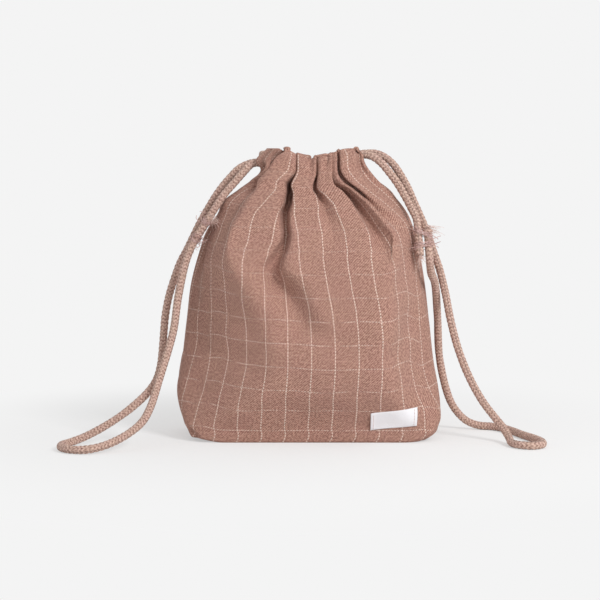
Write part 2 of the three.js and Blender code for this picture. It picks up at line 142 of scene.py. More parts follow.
def through(points, step):
    """A smooth line through the points, with its own points a step apart."""
    p = np.asarray(points, float)
    p = np.vstack([2 * p[0] - p[1], p, 2 * p[-1] - p[-2]])
    knots = np.concatenate([[0], np.cumsum(np.sqrt(np.linalg.norm(np.diff(p, axis=0), axis=1)))])
    pieces = []
    for k in range(1, len(p) - 2):
        t0, t1, t2, t3 = knots[k - 1:k + 3]
        t = np.linspace(t1, t2, curve_steps, endpoint=False)[:, None]
        a1 = p[k - 1] + (p[k] - p[k - 1]) * (t - t0) / (t1 - t0)
        a2 = p[k] + (p[k + 1] - p[k]) * (t - t1) / (t2 - t1)
        a3 = p[k + 1] + (p[k + 2] - p[k + 1]) * (t - t2) / (t3 - t2)
        b1 = a1 + (a2 - a1) * (t - t0) / (t2 - t0)
        b2 = a2 + (a3 - a2) * (t - t1) / (t3 - t1)
        pieces.append(b1 + (b2 - b1) * (t - t1) / (t2 - t1))
    return evenly(np.vstack([*pieces, p[-2:-1]]), step)


# %% Tubes around lines
any_way = (0.3, 0.2, 0.9)


def square_to(line):
    """Two directions square to a line at each of its points, carried along without twist.

    The first one starts square to any_way, which no line here starts along.
    """
    ahead = np.gradient(line, axis=0)
    ahead /= np.linalg.norm(ahead, axis=1)[:, None]
    side = np.cross(ahead[0], any_way)
    sides = []
    for way in ahead:
        side = side - way * np.dot(side, way)
        side /= np.linalg.norm(side)
        sides.append(side)
    return np.array(sides), np.cross(ahead, sides)


def tube(line, radius, sides):
    """Rings of points around a line; radius has a value for each ring or for each of its points."""
    side, up = square_to(line)
    turn = np.linspace(0, 2 * math.pi, sides, endpoint=False)[None, :, None]
    ring = np.cos(turn) * side[:, None] + np.sin(turn) * up[:, None]
    return (line[:, None] + radius[..., None] * ring).reshape(-1, 3)


def tube_faces(rings, sides, first=0):
    """The faces of a tube with closed ends; first is the number of its first point."""
    around = grid_faces(rings, sides, closed=True) + first
    start, end = np.arange(sides) + first, np.arange(sides) + first + (rings - 1) * sides
    return [*around, start[::-1], end]


# %% [markdown]
# ## Finishes written as sums
# A procedural finish is mostly arithmetic on two numbers: how far across the cloth, and how far along it.
# One small class wraps a socket, so that arithmetic on it adds Math nodes. Any other kind of node comes
# from its node method, which takes the node's type, its settings and the values or links of its sockets.


# %% A socket that can be calculated with
class Socket:
    """An output of a material's node."""

    def __init__(self, tree, plug=None):
        self.tree = tree
        self.plug = plug

    def node(self, kind, settings, values, output=0):
        made = self.tree.nodes.new(kind)
        for name, value in settings.items():
            setattr(made, name, value)
        for name, value in values.items():
            if isinstance(value, Socket):
                self.tree.links.new(value.plug, made.inputs[name])
            else:
                made.inputs[name].default_value = value
        return Socket(self.tree, made.outputs[output])

    def maths(self, operation, first, second=0.0):
        return self.node("ShaderNodeMath", {"operation": operation}, {0: first, 1: second})

    def __add__(self, other):
        return self.maths("ADD", self, other)

    def __sub__(self, other):
        return self.maths("SUBTRACT", self, other)

    def __mul__(self, other):
        return self.maths("MULTIPLY", self, other)

    def __rsub__(self, other):
        return self.maths("SUBTRACT", other, self)

    __radd__ = __add__
    __rmul__ = __mul__

    def zigzag(self, pitch):
        """The distance to the nearest whole multiple of pitch."""
        return self.maths("PINGPONG", self, pitch / 2)

    def rise(self, low, high):
        """Goes smoothly from 0 at low to 1 at high."""
        values = {"Value": self, "From Min": low, "From Max": high}
        return self.node("ShaderNodeMapRange", {"interpolation_type": "SMOOTHSTEP"}, values)

    def blend(self, first, second):
        """A colour from first to second as this goes from 0 to 1."""
        return self.node("ShaderNodeMix", {"data_type": "RGBA"}, {0: self, 6: first, 7: second}, 2)

    def noise(self, spot, grain, detail=2.0):
        """Cloudy values from 0 to 1 with clouds about grain millimetres wide."""
        values = {"Vector": spot, "Scale": 1 / grain, "Detail": detail}
        return self.node("ShaderNodeTexNoise", {"noise_dimensions": "3D"}, values)


# %% [markdown]
# Every finish starts the same way: a Principled shader, matt, with its coordinates in millimetres. Cloth
# and cord read their place on the flat cloth. Thread and loose fibres have no flat cloth, so they read
# their place in the object instead.


# %% Start and end of a finish
def colour(red, green, blue):
    """A colour as the photograph shows it, 0 to 255, turned into the shader's linear values."""
    shares = [value / 255 for value in (red, green, blue)]
    linear = [share / 12.92 if share < 0.04 else ((share + 0.055) / 1.055) ** 2.4 for share in shares]
    return (*linear, 1.0)


def new_finish(name, on_cloth=True):
    """A material, its shader, and its place across and along in millimetres."""
    material = bpy.data.materials.new(name)
    material.use_nodes = True
    empty = Socket(material.node_tree)
    if on_cloth:
        place = empty.node("ShaderNodeUVMap", {"uv_map": "cloth"}, {})
    else:
        place = empty.node("ShaderNodeTexCoord", {}, {}, "Object")
    scaled = place.node("ShaderNodeVectorMath", {"operation": "SCALE"}, {0: place, "Scale": 1000.0})
    parts = [place.node("ShaderNodeSeparateXYZ", {}, {0: scaled}, axis) for axis in ("X", "Y")]
    return material, material.node_tree.nodes["Principled BSDF"], scaled, *parts


def wear(shader, base, relief, depth, rough=0.9, sheen=0.0):
    """Gives a shader its colour and its relief, which rises depth millimetres from 0 to 1."""
    bump = base.node("ShaderNodeBump", {}, {"Height": relief, "Strength": 1.0, "Distance": depth / 1000})
    base.tree.links.new(base.plug, shader.inputs["Base Color"])
    base.tree.links.new(bump.plug, shader.inputs["Normal"])
    shader.inputs["Roughness"].default_value = rough
    shader.inputs["Specular IOR Level"].default_value = 0.25
    shader.inputs["Sheen Weight"].default_value = sheen
    shader.inputs["Sheen Roughness"].default_value = 0.6


# %% [markdown]
# ## Checked cotton twill
# The cloth is a dusty rose twill: fine diagonal ribs, rising to the right, in yarn that is never quite one
# colour. A windowpane check of off-white yarn crosses it every 12.7 mm. The pale yarn dives under the rose
# yarn again and again, so each line is a row of dots, clearer along the warp than across it.


# %% Checked cotton
check_pitch = 12.7
check_shift = 1.55
check_rise = 5.3
yarn_width = 0.55
dot_pitch = 1.65
twill_pitch = 1.35
pick_pitch = 0.56
worn_from, worn_to = 72.0, 110.0
shade_rose, light_rose = (106, 63, 53), (204, 160, 144)
shade_tan, light_tan = (110, 71, 56), (205, 165, 146)
pale_yarn = (240, 220, 206)


def checked_cotton(name):
    material, shader, spot, across, along = new_finish(name)
    sway = (across.noise(spot, 4.0) - 0.5) * 0.5
    ribs = ((across - along) + sway).zigzag(twill_pitch).rise(0.08, 0.44)
    picks = along.zigzag(pick_pitch).rise(0.02, 0.26)
    half_yarn = yarn_width / 2
    from_warp = (across + check_shift + sway * 0.5).zigzag(check_pitch)
    from_weft = (along + check_rise + sway * 0.5).zigzag(check_pitch)
    warp = from_warp.rise(half_yarn + 0.14, half_yarn - 0.16)
    weft = from_weft.rise(half_yarn + 0.12, half_yarn - 0.2)
    warp_dots = (along + sway).zigzag(dot_pitch).rise(0.18, 0.6)
    weft_dots = (across + sway).zigzag(dot_pitch).rise(0.3, 0.66)
    worn = across.noise(spot, 9.0).rise(0.3, 0.6) * (1 - 0.55 * along.rise(worn_from, worn_to))
    pale_warp = warp * (0.05 + 0.85 * warp_dots)
    pale_weft = weft * (0.1 + 0.6 * weft_dots) * worn
    pale = pale_warp.maths("MAXIMUM", pale_warp, pale_weft)
    specks = across.noise(spot, 1.15, 2.0).rise(0.36, 0.64)
    clouds = across.noise(spot, 14.0).rise(0.3, 0.7)
    light = ribs * 0.42 + picks * 0.16 + specks * 0.42
    rose = light.blend(colour(*shade_rose), colour(*light_rose))
    tan = light.blend(colour(*shade_tan), colour(*light_tan))
    yarn = (clouds * 0.4).blend(rose, tan)
    checked = pale.blend(yarn, colour(*pale_yarn))
    relief = ribs * 0.7 + picks * 0.2 + pale * 0.35 + specks * 0.2
    wear(shader, checked, relief, depth=0.16, rough=0.92, sheen=0.05)
    return material


cloth_finish = checked_cotton("checked_cotton")
print("checked cotton:", len(cloth_finish.node_tree.nodes), "nodes")

# %% [markdown]
# ## Lining, label, cord and thread
# The lining is plain natural cotton, woven one over one. The label is a white ribbon with fine ribs. The
# drawcords are knitted tubes: rows of small V-shaped stitches, with loose fibres that make their colour
# uneven. Each is a few waves and some noise.


# %% Lining
lining_pitch = 0.5
shade_natural, light_natural = (182, 164, 147), (228, 214, 198)


def plain_cotton(name):
    material, shader, spot, across, along = new_finish(name)
    weave = across.zigzag(lining_pitch).rise(0.02, 0.22) * along.zigzag(lining_pitch).rise(0.02, 0.22)
    slubs = across.noise(spot, 1.6, 3.0)
    tone = (weave * 0.45 + slubs * 0.55).blend(colour(*shade_natural), colour(*light_natural))
    wear(shader, tone, weave * 0.6 + slubs * 0.4, depth=0.12, rough=0.95)
    return material


lining_finish = plain_cotton("lining_cotton")


# %% Drawcord
column_pitch, chevron_pitch = 2.2, 2.0
shade_pink, light_pink = (129, 92, 83), (221, 188, 174)
shade_sand, light_sand = (129, 96, 82), (219, 190, 171)


def knitted_cord(name):
    material, shader, spot, across, along = new_finish(name)
    column = across.zigzag(column_pitch)
    chevron = (along + column * 0.9).zigzag(chevron_pitch).rise(0.15, 0.75)
    groove = column.rise(0.05, 0.35)
    fluff = across.noise(spot, 1.1, 2.0).rise(0.34, 0.66)
    patch = across.noise(spot, 5.0).rise(0.3, 0.7)
    light = chevron * 0.42 + groove * 0.13 + fluff * 0.45
    pink = light.blend(colour(*shade_pink), colour(*light_pink))
    sand = light.blend(colour(*shade_sand), colour(*light_sand))
    relief = chevron * 0.5 + groove * 0.3 + fluff * 0.3
    wear(shader, (patch * 0.6).blend(pink, sand), relief, depth=0.2, rough=0.95, sheen=0.12)
    return material


cord_finish = knitted_cord("drawcord")


# %% Label ribbon
rib_pitch, ribbon_pick_pitch = 0.36, 0.3
shade_white, light_white = (226, 225, 229), (252, 251, 254)


def ribbon(name):
    material, shader, spot, across, along = new_finish(name)
    ribs = along.zigzag(rib_pitch).rise(0.02, 0.15)
    picks = across.zigzag(ribbon_pick_pitch).rise(0.02, 0.12)
    soft = across.noise(spot, 1.2, 3.0)
    tone = (ribs * 0.5 + picks * 0.2 + soft * 0.3).blend(colour(*shade_white), colour(*light_white))
    wear(shader, tone, ribs * 0.7 + picks * 0.3, depth=0.06, rough=0.7)
    return material


label_finish = ribbon("label_weave")


# %% Threads and loose fibres
def spun(name, dark, light, grain):
    material, shader, spot, across, _ = new_finish(name, on_cloth=False)
    twist = across.noise(spot, grain, 3.0).rise(0.25, 0.75)
    wear(shader, twist.blend(colour(*dark), colour(*light)), twist, depth=0.05, sheen=0.1)
    return material


thread_finish = spun("thread", (172, 134, 126), (224, 192, 186), 0.8)
sewing_finish = spun("sewing_thread", (158, 110, 97), (196, 150, 135), 0.4)
fibre_finish = spun("frayed_cotton", (196, 162, 150), (236, 212, 202), 0.8)
print("finishes:", ", ".join(sorted(m.name for m in bpy.data.materials if m.users == 0)))

# %% [markdown]
# ## The drawcords' routes
# Each drawcord goes once round the mouth inside the casing and comes out on its own side as two strands.
# One strand drops to the ground, makes a loop there and comes back up. Its end is lashed to the shorter
# strand. The points are the same ones that the imported model was built from.

# %% Routes
cord_diameter = 4.2
left_long_route = [
    (-24.3, 7.0, 149.8), (-31.2, 7.0, 149.8), (-38.2, 5.5, 147.0), (-43.8, 3.0, 141.6),
    (-50.1, 0.0, 133.6), (-54.9, -1.0, 126.0), (-59.7, -3.0, 117.4), (-63.2, -4.0, 110.3),
    (-67.0, -5.0, 102.5), (-70.6, -6.0, 95.6), (-74.0, -8.0, 86.3), (-76.9, -9.0, 76.5),
    (-78.6, -11.0, 66.8), (-79.3, -13.0, 58.0), (-79.9, -16.0, 48.7), (-80.7, -19.5, 40.5),
    (-82.8, -23.0, 33.2), (-87.1, -26.0, 27.0), (-94.4, -29.5, 20.2), (-102.8, -32.0, 14.0),
    (-111.8, -34.5, 8.6), (-120.5, -37.2, 4.4), (-127.2, -41.8, 2.4), (-130.6, -49.2, 2.2),
    (-129.6, -57.6, 2.2), (-124.2, -63.4, 2.2), (-116.7, -65.0, 2.4), (-108.8, -61.6, 3.4),
    (-101.2, -56.6, 5.8), (-93.8, -50.6, 9.6), (-88.3, -44.6, 14.2), (-84.8, -38.8, 20.6),
    (-82.6, -33.8, 27.4), (-80.8, -29.8, 34.0), (-76.2, -24.0, 49.4), (-73.4, -21.0, 60.4),
    (-70.9, -18.4, 78.4), (-66.8, -17.0, 97.0), (-62.6, -17.0, 107.4), (-53.8, -17.4, 121.2),
]
left_short_route = [
    (-24.3, -7.0, 149.8), (-31.0, -7.0, 149.6), (-35.8, -8.4, 145.0), (-40.8, -9.6, 139.3),
    (-46.4, -11.0, 132.8), (-51.2, -12.0, 125.6), (-55.2, -12.8, 119.0), (-58.8, -12.6, 113.4),
    (-63.0, -12.4, 106.8),
]
right_long_route = [
    (24.3, 7.0, 154.4), (31.2, 7.0, 155.0), (36.0, 6.6, 155.0), (41.0, 5.6, 153.2), (45.8, 4.6, 149.3),
    (50.3, 4.0, 142.7), (54.4, 4.0, 135.4), (57.2, 4.0, 129.0), (60.0, 3.6, 122.7), (62.8, 3.0, 116.4),
    (65.4, 2.6, 109.8), (67.6, 2.0, 103.0), (71.8, 2.4, 91.0), (74.8, -1.2, 78.0), (77.0, -8.0, 64.8),
    (81.0, -12.0, 49.0), (87.0, -16.0, 33.5), (93.8, -20.0, 21.2), (100.4, -24.5, 12.6),
    (104.6, -28.2, 7.4), (106.6, -34.4, 3.8), (107.2, -41.4, 2.2), (110.4, -48.4, 2.2),
    (116.8, -51.2, 2.2), (122.4, -47.4, 2.2), (123.6, -40.0, 2.2), (121.2, -29.0, 2.2),
    (116.2, -16.0, 2.2), (112.6, -4.0, 2.2), (108.4, 7.0, 2.2), (102.6, 13.6, 2.2), (95.4, 16.2, 2.4),
    (88.8, 16.8, 4.8), (83.2, 17.0, 10.0), (78.6, 17.0, 18.0), (73.2, 16.2, 39.7), (71.2, 9.0, 65.0),
    (68.6, -4.6, 84.6), (66.2, -11.6, 90.0), (65.0, -17.8, 95.4), (64.4, -20.2, 100.4),
    (63.9, -19.7, 107.6), (63.5, -19.0, 114.6),
]
right_short_route = [
    (24.3, -7.0, 154.4), (31.0, -7.0, 154.3), (34.6, -8.4, 153.2), (38.8, -9.8, 150.0),
    (43.2, -10.6, 144.8), (47.8, -11.0, 138.6), (51.4, -11.2, 132.4), (54.8, -11.4, 126.0),
    (57.6, -15.0, 120.0), (58.4, -18.4, 113.0), (59.3, -22.4, 100.6),
]

routes = [left_long_route, left_short_route, right_long_route, right_short_route]
print("points on the routes:", [len(route) for route in routes])

# %% [markdown]
# ## A knitted cord
# A curve with a round bevel would be quick, but a knitted cord isn't smooth: its stitches stand up in two
# crossing spirals, and hand-made cord varies in thickness. So the tube is built ring by ring, and each
# ring's radius follows those spirals.


# %% Knitted tube
stitch_step = 0.42
stitch_rows = 4
stitch_rise = 0.075
spiral_turn = 2.2
uneven_every, unevenness = 7.0, 0.02
cord_sides = 20


def knitted(name, line, seed=0):
    """A cord along a line, with its stitches standing up from it."""
    turn = np.linspace(0, 2 * math.pi, cord_sides, endpoint=False)
    along = along_line(line)[:, None]
    spiral = spiral_turn * along
    knit = np.maximum(np.cos(stitch_rows * turn + spiral), np.cos(stitch_rows * turn - spiral))
    rng = np.random.default_rng(seed)
    marks = np.linspace(0, along[-1, 0], max(4, int(along[-1, 0] / uneven_every)))
    thickness = np.interp(along, marks, rng.normal(0, unevenness, len(marks)))
    points = tube(line, cord_diameter / 2 * (0.96 + stitch_rise * knit + thickness), cord_sides)
    flat = np.stack(np.broadcast_arrays(turn[None] * cord_diameter / 2, along), -1)
    piece = make_piece(name, points, tube_faces(len(line), cord_sides), cord_finish, flat.reshape(-1, 2))
    return piece


# %% Free strands
strands = {}
for side, long_route, short_route, seed in [
    ("left", left_long_route, left_short_route, 1),
    ("right", right_long_route, right_short_route, 2),
]:
    long_line, short_line = through(long_route, stitch_step), through(short_route, stitch_step)
    long_cord = knitted(f"{side}_cord_long", long_line, seed)
    short_cord = knitted(f"{side}_cord_short", short_line, seed + 10)
    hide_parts(f"{side}_cord_drop", f"{side}_cord_loop", f"{side}_cord_rise")
    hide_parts(f"{side}_cord_short_end")
    outside = -1 if side == "left" else 1
    loop_start, loop_end = (outside * 0.083, -0.022, 0.036), (outside * 0.116, -0.036, 0.006)
    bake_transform(long_cord)
    short_line[0] / 1000
    short_line[-1] / 1000
    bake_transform(short_cord)
    strands[side] = {"long": (long_cord, long_line), "short": (short_cord, short_line)}
    print(side, "strands, mm:", round(along_line(long_line)[-1]), round(along_line(short_line)[-1]))

# %% [markdown]
# ## The filled bag's outline
# Full of treats, the bag stands by itself: wide and rounded near the ground, narrowing to the gathered
# mouth. A few heights describe the form that the cloth lies on: how far it reaches left and right, half its
# depth, where its flat front ends on each side and how far each side runs straight. Between them a cubic
# curve fills in, so nothing shows a ring. The back has the same sides, but is an even oval.

# %% Outline of the filled bag
mouth_height = 147.0
back_fullness = 4.6
oval_edge, oval_flank = 0.52, 0.5
bag_outline = np.array([
    # height, left and right side, half depth, left and right edge of the front, straight left and right
    (0.0, -64.3, 63.2, 28.5, -58.0, 58.0, 27.0, 27.0),
    (1.6, -65.4, 66.2, 28.9, -58.0, 58.0, 26.5, 26.5),
    (3.4, -66.1, 68.4, 29.2, -57.5, 58.0, 26.0, 26.0),
    (8.0, -68.5, 69.9, 30.4, -56.0, 57.0, 24.0, 24.0),
    (18.0, -71.7, 71.4, 35.0, -40.0, 50.0, 17.0, 20.0),
    (26.0, -72.9, 71.0, 39.5, -28.0, 46.0, 11.5, 12.0),
    (40.0, -70.6, 68.6, 43.0, -20.0, 42.0, 7.5, 8.5),
    (64.0, -67.6, 65.8, 43.0, -25.0, 41.0, 6.0, 8.0),
    (86.0, -64.7, 63.1, 42.0, -36.0, 42.5, 5.5, 7.0),
    (99.0, -61.2, 60.8, 40.0, -43.0, 45.0, 7.5, 7.5),
    (111.0, -57.0, 58.0, 36.0, -43.5, 45.0, 8.0, 8.0),
    (123.0, -49.6, 53.2, 30.0, -37.0, 39.0, 8.0, 8.0),
    (134.0, -40.6, 44.2, 24.4, -30.0, 30.0, 9.0, 9.0),
    (142.0, -29.6, 35.6, 20.4, -24.0, 21.5, 11.0, 11.0),
    (147.0, -23.6, 31.6, 18.0, -21.0, 17.5, 12.0, 12.0),
])


def outline_at(heights):
    """The table's columns, from the left side on, at each height."""
    known = bag_outline[:, 0]
    k = np.clip(np.searchsorted(known, heights) - 1, 0, len(known) - 2)
    gap = (known[k + 1] - known[k])[:, None]
    t = ((heights - known[k]) / gap[:, 0])[:, None]
    values = bag_outline[:, 1:]
    slope = np.gradient(values, known, axis=0)
    ease = t * t * (3 - 2 * t)
    bow = (t - 2 * t ** 2 + t ** 3) * gap * slope[k] + (t ** 3 - t ** 2) * gap * slope[k + 1]
    return (values[k] * (1 - ease) + values[k + 1] * ease + bow).T


def oval_at(heights):
    """The back's form: the same sides, but an even oval that is fuller low down."""
    left, right, depth, *front = outline_at(heights)
    full = depth + back_fullness * smoothstep(0, 10, heights) * (1 - smoothstep(16, 34, heights))
    oval = np.array([oval_edge * left, oval_edge * right, oval_flank * full, oval_flank * full])
    return np.array([left, right, full, *(front + (oval - front) * smoothstep(0, 24, heights))])


print("widest, mm:", float((bag_outline[:, 2] - bag_outline[:, 1]).max()))

# %% [markdown]
# ## Folds that keep the cloth's width
# Each wall is one piece of cloth, 187 mm wide all the way up, but the neck is only a third as wide. Cloth
# hardly stretches, so what is spare goes into folds. A fold is two flanks that tilt away from the surface,
# and a flank that tilts past square lies back under its neighbour, as a pleat does. For each fold the table
# gives, at a few heights, where its bottom is on the cloth, how wide its flanks are and how much width it
# takes up. The tilt of the flanks follows from that. Folds are crisp near the mouth and loose lower down.

# %% Folds
half_cloth = 93.7
front_folds = [
    # each fold from the mouth down: height, bottom, left flank, right flank, width taken up
    [
        (147, -84, 9.5, 9.5, 10.6), (144, -84, 9.5, 9.5, 15.6), (141, -84, 9.5, 9.5, 21.4),
        (136, -84, 9.5, 9.5, 27), (130, -84, 9.5, 9.5, 24.6), (124, -84.5, 9, 9.5, 19.4),
        (118, -85, 8.5, 9, 11.4), (112, -85, 8.5, 9, 6), (106, -85, 8.5, 9, 3.4),
        (90, -85, 8.5, 9, 1.6), (70, -85, 8.5, 9, 0),
    ],
    [
        (147, -61, 11, 10, 29.6), (144, -60, 11, 9.5, 20.6), (141, -59, 11, 8, 12.6),
        (136, -58, 11, 6, 1.8), (128, -58, 11, 6, 0.6), (112, -58, 11, 6, 0.2), (100, -58, 11, 6, 0),
    ],
    [
        (147, -19, 17.5, 16.5, 31.8), (141, -18.8, 17.3, 16.8, 30.2), (136, -18.3, 16.6, 16.4, 28),
        (130, -16.4, 14.3, 14.2, 23.2), (124, -15.6, 12, 12, 18.8), (118, -14.9, 10.5, 10.5, 15.8),
        (112, -13.8, 9.2, 9.2, 13.4), (106, -14.9, 8.6, 8.5, 12.4), (100, -17.8, 9.2, 8.6, 10.9),
        (94, -21, 11.5, 9.6, 9.1), (88, -18, 14.5, 13.5, 7.1), (82, -14.5, 16, 15, 4.8),
        (74, -10, 15, 13, 2.4), (58, -6, 14, 12, 0),
    ],
    [
        (147, 16.6, 8.6, 8.8, 15.3), (141, 16.6, 7.6, 7.8, 12.3), (136, 16.6, 6, 6.6, 7.8),
        (130, 16.6, 5, 6.4, 4.6), (124, 16.6, 5, 7, 2.7), (116, 16.6, 5, 8, 0.9), (106, 16.6, 5, 8, 0),
    ],
    [
        (147, 43, 10, 12, 20.3), (141, 43, 10, 12, 18.8), (136, 43, 10, 12, 16.4),
        (130, 43, 10, 12, 15), (124, 43.5, 9.5, 12, 12.2), (118, 44, 8.5, 12, 10.6),
        (112, 44.5, 8, 12, 7.4), (106, 45, 8, 12, 2.8), (97, 45, 8, 12, 0),
    ],
    [
        (147, 62.5, 7.5, 7.5, 12.4), (141, 62.5, 7.5, 7.2, 11), (136, 62.5, 7.5, 7, 10.2),
        (130, 62.5, 7, 6.5, 8.5), (124, 62.5, 7, 6, 5), (118, 62.5, 7, 6, 1), (114, 62.5, 7, 6, 0),
    ],
    [
        (147, 87, 6.5, 6.5, 2.6), (137, 87, 6.5, 6.5, 0.3), (120, 87, 6.5, 6.5, 0.3),
        (104, 87, 6.5, 6.5, 1.4), (86, 87, 6.5, 6.5, 1), (64, 87, 6.5, 6.5, 0),
    ],
]
back_folds = [
    [(z, -bottom, right, left, taken) for z, bottom, left, right, taken in fold] for fold in front_folds
]
print("taken up by the folds at the mouth, mm:", [fold[0][-1] for fold in front_folds])

# %% Tilt of the cloth
steepest = 2.6
crisp_width, loose_width, fold_length = 0.62, 2.6, 2.2
rolled_place, rolled_width = -30.0, 8.0


def flank_tilts(left, right, taken):
    """How far a fold's flanks tilt to take up a width of cloth and come back out to the same level."""
    if right > left:
        return flank_tilts(right, left, taken)[::-1]
    steep = np.linspace(0, steepest, 300)
    gentle = np.arcsin(right / left * np.sin(steep))
    used = left * (1 - np.cos(gentle)) + right * (1 - np.cos(steep))
    k = min(int(np.searchsorted(used, taken)), len(steep) - 1)
    return gentle[k], steep[k]


def soften(field, width, axis):
    """Blurs a field along one axis; width is in steps of the grid."""
    reach = int(3 * width) + 1
    kernel = np.exp(-0.5 * (np.arange(-reach, reach + 1) / width) ** 2)
    pad = [(reach, reach) if a == axis else (0, 0) for a in range(field.ndim)]
    padded = np.pad(field, pad, mode="edge")
    return np.apply_along_axis(np.convolve, axis, padded, kernel / kernel.sum(), "valid")


def fold_tilts(folds, heights, s):
    """The tilt of the cloth at each height and each place across it."""
    gap, rise = s[1] - s[0], heights[1] - heights[0]
    rolled = np.exp(-((s - rolled_place) / rolled_width) ** 2)
    crispness = smoothstep(92, 110, heights)[:, None] * (1 - 0.8 * rolled)
    tilts = np.zeros((len(heights), len(s)))
    for fold in folds:
        known = np.array(fold[::-1], float)
        sharp, wanted = np.zeros_like(tilts), np.zeros((len(heights), 1))
        for j, z in enumerate(heights):
            bottom, left, right, taken = (np.interp(z, known[:, 0], known[:, c]) for c in range(1, 5))
            if taken <= 0.01 or z < known[0, 0]:
                continue
            tilt_left, tilt_right = flank_tilts(left, right, taken)
            sharp[j] += np.where((s > bottom - left) & (s <= bottom), tilt_left, 0)
            sharp[j] -= np.where((s > bottom) & (s < bottom + right), tilt_right, 0)
            wanted[j] = taken
        crisp, loose = soften(sharp, crisp_width / gap, 1), soften(sharp, loose_width / gap, 1)
        soft = soften(loose + (crisp - loose) * crispness, fold_length / rise, 0)
        wanted = soften(wanted, fold_length / rise, 0)
        used = (1 - np.cos(soft)).sum(1, keepdims=True) * gap
        tilts += soft * np.sqrt(np.clip(wanted / np.maximum(used, 0.02), 0.5, 1.2))
    return tilts


# %% [markdown]
# ## From folds to a wall
# For each height the form's outline is a row of straight stretches with rounded corners, cut open at the
# sides near the mouth, where the seams end and the cords come out. Walking along the tilted cloth gives,
# for every point, a place along that outline and a depth inside it. Spare width that no fold takes up is
# eased in at the sides. A full bag is never quite even, so slow swells of half a millimetre and a few soft
# creases are added.

# %% Outline at one height
slit_foot = 116.0
slit_gap = 9.5
outline_step = 0.25
round_low, round_high = 4.2, 1.2


def hull_row(z, left, right, depth, left_edge, right_edge, left_flank, right_flank):
    """The outline of the form at one height, from seam to seam, and the distance along it."""
    slit = slit_gap * smoothstep(slit_foot, mouth_height, z) ** 0.6
    left_side = [(left_edge, -depth), (left, -max(left_flank, slit + 1)), (left, -slit)]
    right_side = [(right, -slit), (right, -max(right_flank, slit + 1)), (right_edge, -depth)]
    behind_left = [(x, -2 * slit - y) for x, y in left_side[:2]]
    behind_right = [(x, -2 * slit - y) for x, y in right_side[1:]]
    corners = np.array(behind_left + left_side[::-1] + right_side[::-1] + behind_right)
    along = along_line(corners)
    stops = np.arange(0, along[-1], outline_step)
    softness = round_low + (round_high - round_low) * smoothstep(82, 108, z)
    line = soften(places_on(corners, stops), softness / outline_step, 0)
    line = line[(stops >= along[2]) & (stops <= along[-3])]
    x = np.interp(line[:, 0], [line[:, 0].min(), line[:, 0].max()], [left, right])
    y = line[:, 1] * depth / -line[:, 1].min()
    return x, y, along_line(np.stack([x, y], 1))


def on_outline(outline, along):
    """Places on an outline at distances along it, and the direction there."""
    hull_x, hull_y, hull_along = outline
    x, y = np.interp(along, hull_along, hull_x), np.interp(along, hull_along, hull_y)
    way_x = np.interp(along, hull_along, np.gradient(hull_x, hull_along))
    way_y = np.interp(along, hull_along, np.gradient(hull_y, hull_along))
    size = np.hypot(way_x, way_y)
    return x, y, way_x / size, way_y / size


def inside(outline, along, deep, z, dip):
    """Points at depths inside an outline; near the mouth they follow its dip."""
    x, y, way_x, way_y = on_outline(outline, along)
    drop = smoothstep(108, mouth_height, z) * dip(x)
    return np.stack([x - way_y * deep, y + way_x * deep, z - drop], -1)


mouth_outline = hull_row(mouth_height, *outline_at(np.array([mouth_height]))[:, 0])
print("front outline at the mouth, mm:", round(mouth_outline[2][-1]), "for cloth of", 2 * half_cloth)


# %% Uneven cloth
def swells(s, z, seed):
    """Slow unevenness of the filled cloth."""
    rng = np.random.default_rng(seed)
    depth = np.zeros(np.broadcast(s, z).shape)
    for wavelength, height in [(75, 0.5), (48, 0.4), (31, 0.3), (21, 0.2), (14, 0.1)]:
        for _ in range(2):
            way, phase = rng.uniform(0, math.pi), rng.uniform(0, 2 * math.pi)
            waves = (s * math.cos(way) + z * math.sin(way)) / wavelength
            depth += height * np.sin(2 * math.pi * waves + phase)
    filled = smoothstep(0, 12, z) * (1 - smoothstep(120, 140, z))
    return depth * filled * (1 - smoothstep(74, 90, np.abs(s)))


def drag_fold(s, z, start, end, depth, width):
    """A soft crease from one place on the cloth to another."""
    way = np.subtract(end, start)
    share = ((s - start[0]) * way[0] + (z - start[1]) * way[1]) / np.dot(way, way)
    aside = ((s - start[0]) * way[1] - (z - start[1]) * way[0]) / np.linalg.norm(way)
    ends = smoothstep(-0.25, 0.2, share) * (1 - smoothstep(0.55, 1.1, share))
    return depth * np.exp(-(aside / width) ** 2) * ends


# %% Wall of the bag
fold_clearance = 4.0


def running(values, gap):
    """The running total of a row of values a gap apart, from zero."""
    return np.concatenate([[0], np.cumsum((values[1:] + values[:-1]) / 2 * gap)])


def wall(folds, form, heights, s, dip, creases):
    """The points of one wall in front of the middle, and each row's outline, places along it and depths."""
    gap = s[1] - s[0]
    tilts = fold_tilts(folds, heights, s)
    side_ease = 0.12 + smoothstep(45, 80, np.abs(s))
    grid, rows = [], []
    for j, (z, *sides) in enumerate(zip(heights, *form(heights))):
        outline = hull_row(z, *sides)
        hull_along = outline[2]
        spare = 2 * half_cloth - hull_along[-1]
        taken = running(1 - np.cos(tilts[j]), gap)[-1]
        tilt = tilts[j] * math.sqrt(np.clip(0.97 * max(spare, 0.01) / max(taken, 0.01), 0.9, 1.1))
        forward = np.cos(tilt)
        left_over = running(forward, gap)[-1] - hull_along[-1]
        eased_in = left_over / running(np.abs(forward) * side_ease, gap)[-1] * side_ease
        eased = forward * (1 - eased_in * np.sign(forward))
        along = running(eased, gap) * (hull_along[-1] / running(eased, gap)[-1])
        deep = running(np.sin(tilt), gap)
        deep = deep - np.linspace(0, deep[-1], len(s))
        limit = sides[2] - fold_clearance
        deep = limit * np.tanh(deep / limit) + creases(s, z)
        grid.append(inside(outline, along, deep, z, dip))
        rows.append((z, outline, along, deep))
    return np.array(grid), rows


